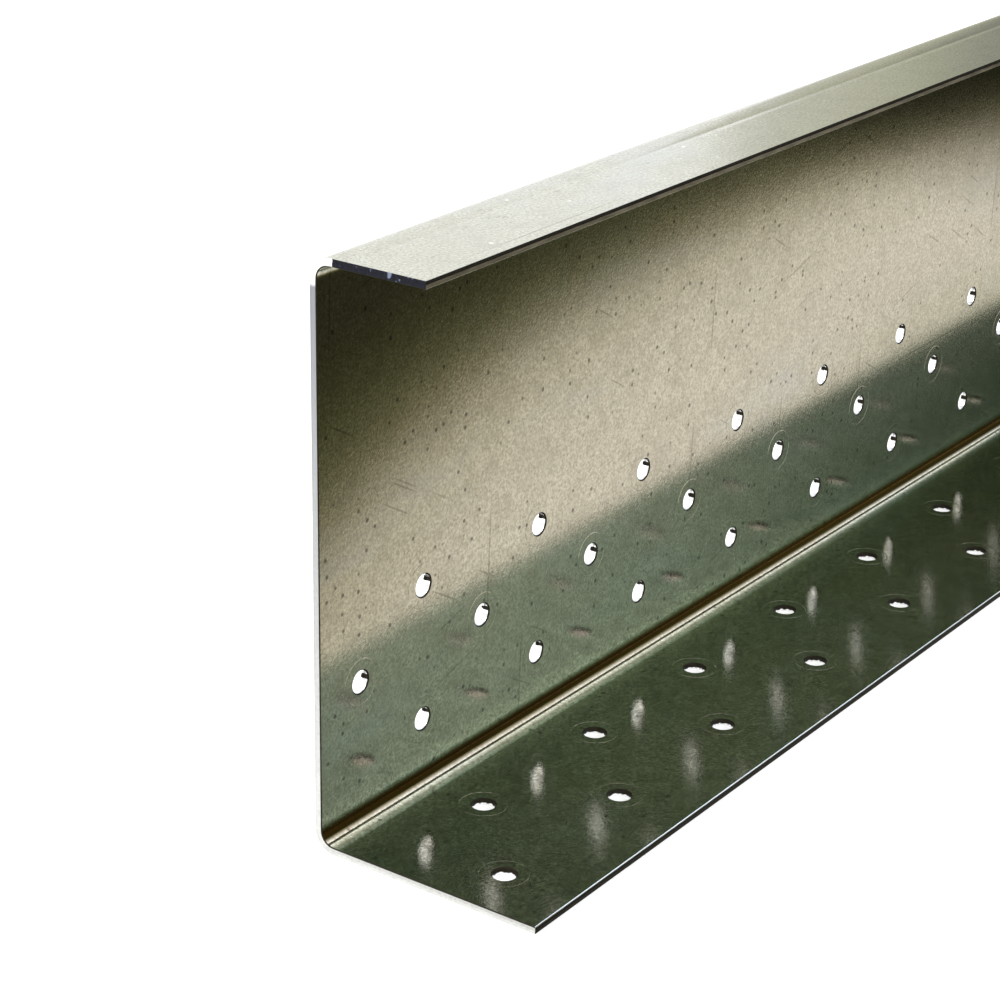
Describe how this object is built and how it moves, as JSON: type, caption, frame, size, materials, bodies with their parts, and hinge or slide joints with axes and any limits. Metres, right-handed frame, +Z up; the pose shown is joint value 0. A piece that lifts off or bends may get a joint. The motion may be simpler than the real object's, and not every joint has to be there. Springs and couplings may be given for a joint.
{
  "type": "slab edge form",
  "caption": "Galvanised steel edge form for a concrete slab: a folded C with a wide punched bottom flange, an upright punched web and a narrow top flange.",
  "frame": {"origin": "middle of the length and of the wide bottom flange, on its underside", "axes": "+X along the length, +Y towards the back of the web with both flanges pointing to -Y, +Z up"},
  "size_m": [1, 0.066, 0.152],
  "materials": {
    "galvanised_steel": "galvanised, fine matt grain on a semi-gloss zinc face, bare steel in the slit edges"
  },
  "bodies": {
    "root": {"folded_edge_profile": "galvanised_steel"}
  },
  "joints": []
}
